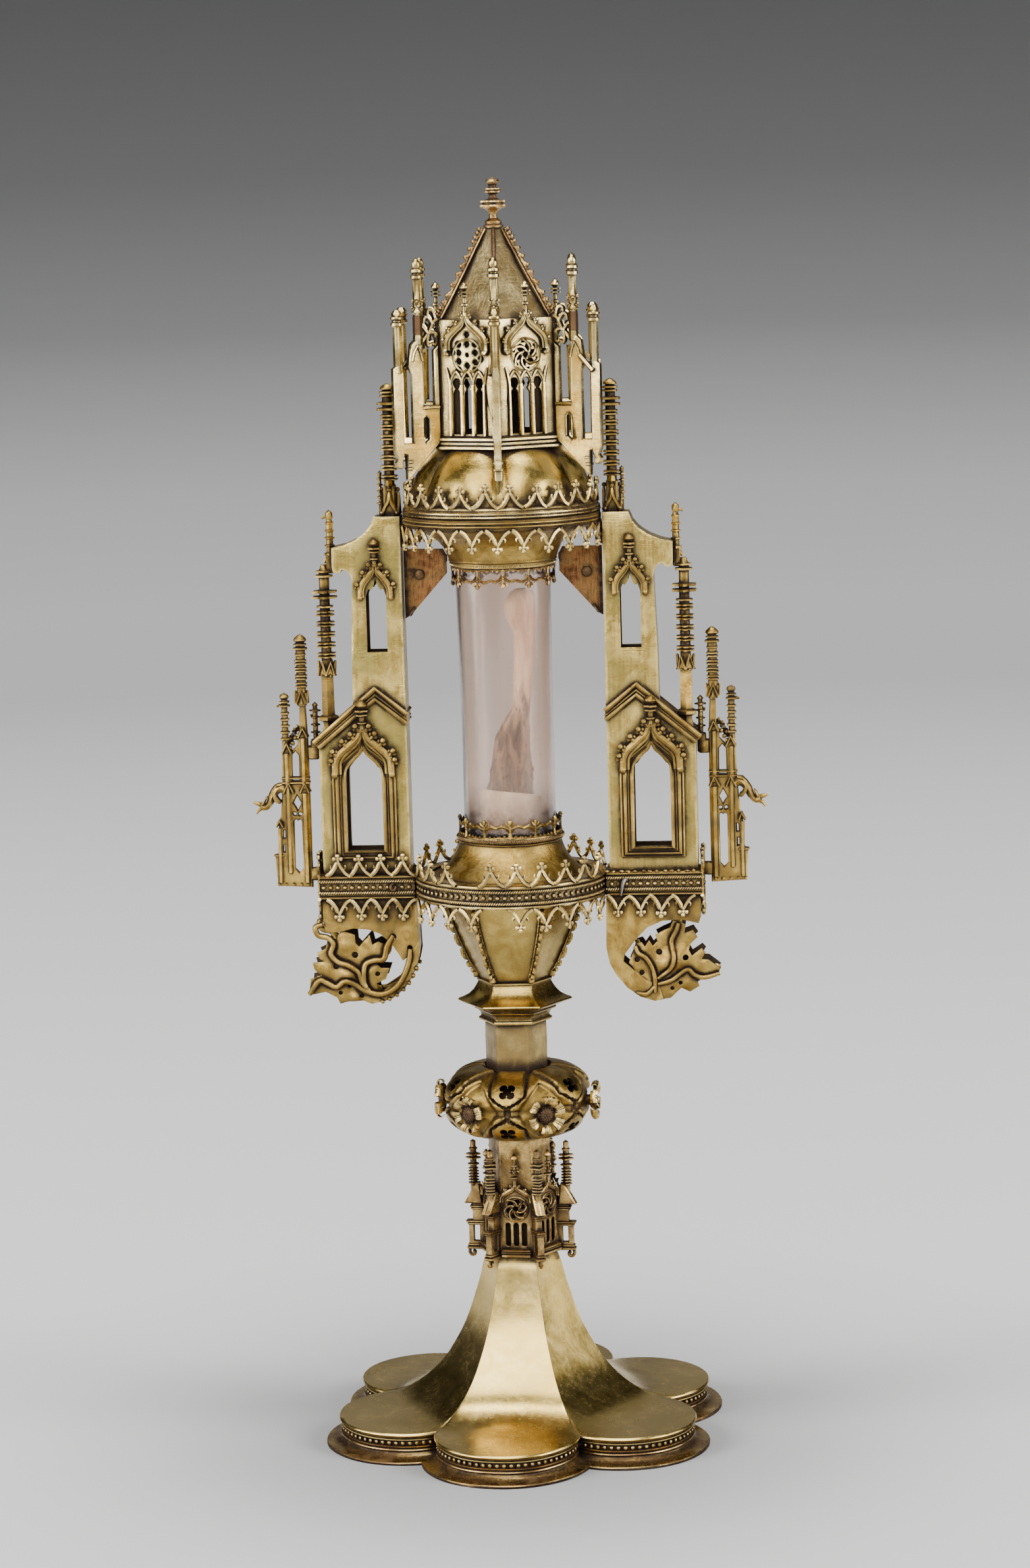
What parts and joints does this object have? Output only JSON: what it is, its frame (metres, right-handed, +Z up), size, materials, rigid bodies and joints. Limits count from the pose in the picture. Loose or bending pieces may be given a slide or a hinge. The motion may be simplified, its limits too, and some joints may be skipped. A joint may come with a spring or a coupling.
{
  "type": "tower reliquary",
  "caption": "Gilded Gothic tower reliquary: lobed foot, stem with chapel and pierced knop, gallery, upright glass tube with a relic, side towers and a lid with a six-sided lantern and spire.",
  "frame": {"origin": "on the floor, under the middle of the foot", "axes": "+Z up the stem; the front looks along -Y and the side towers stand at -X and +X"},
  "size_m": [0.2054, 0.1678, 0.5],
  "materials": {
    "gilt": "fire-gilded silver sheet, polished by handling, duller and brown in the recesses",
    "cast_gilt": "cast and gilded trim with brown patina in the hollows",
    "glass": "clear blown glass with a slight smoky tint",
    "bone": "old bone, pinkish cream above and brown and spongy where it is broken",
    "vellum": "cream pasteboard tray, soiled at the edges",
    "copper": "bare copper sheet, brown with age"
  },
  "bodies": {
    "root": {"bowl": "gilt", "bracket_left": "gilt", "bracket_right": "gilt", "chapel": "cast_gilt", "foot": "gilt", "gallery": "gilt", "gallery_crest_back": "cast_gilt", "gallery_crest_front": "cast_gilt", "gallery_pendants_back": "cast_gilt", "gallery_pendants_front": "cast_gilt", "glass_tube": "glass", "gusset_left": "copper", "gusset_right": "copper", "knop": "gilt", "lantern": "gilt", "lid_buttress_1": "gilt", "lid_buttress_2": "gilt", "lid_buttress_3": "gilt", "lid_buttress_4": "gilt", "lid_buttress_5": "gilt", "lid_buttress_6": "gilt", "lid_crest": "cast_gilt", "lid_dome": "gilt", "neck": "gilt", "neck_fleurons": "cast_gilt", "neck_pendants": "cast_gilt", "outer_buttress_left": "cast_gilt", "outer_buttress_right": "cast_gilt", "platform_crest_left": "cast_gilt", "platform_crest_right": "cast_gilt", "platform_left": "gilt", "platform_pendants_left": "cast_gilt", "platform_pendants_right": "cast_gilt", "platform_right": "gilt", "relic": "bone", "relic_tray": "vellum", "roof": "gilt", "roof_finial": "cast_gilt", "rosette_1": "gilt", "rosette_2": "gilt", "rosette_3": "gilt", "rosette_4": "gilt", "rosette_5": "gilt", "rosette_6": "gilt", "seat_fleurons": "cast_gilt", "stem": "gilt", "stem_collar": "gilt", "tower_left": "gilt", "tower_pinnacle_left": "cast_gilt", "tower_pinnacle_right": "cast_gilt", "tower_right": "gilt", "tower_spire_left": "cast_gilt", "tower_spire_right": "cast_gilt", "tube_seat": "gilt"}
  },
  "joints": []
}
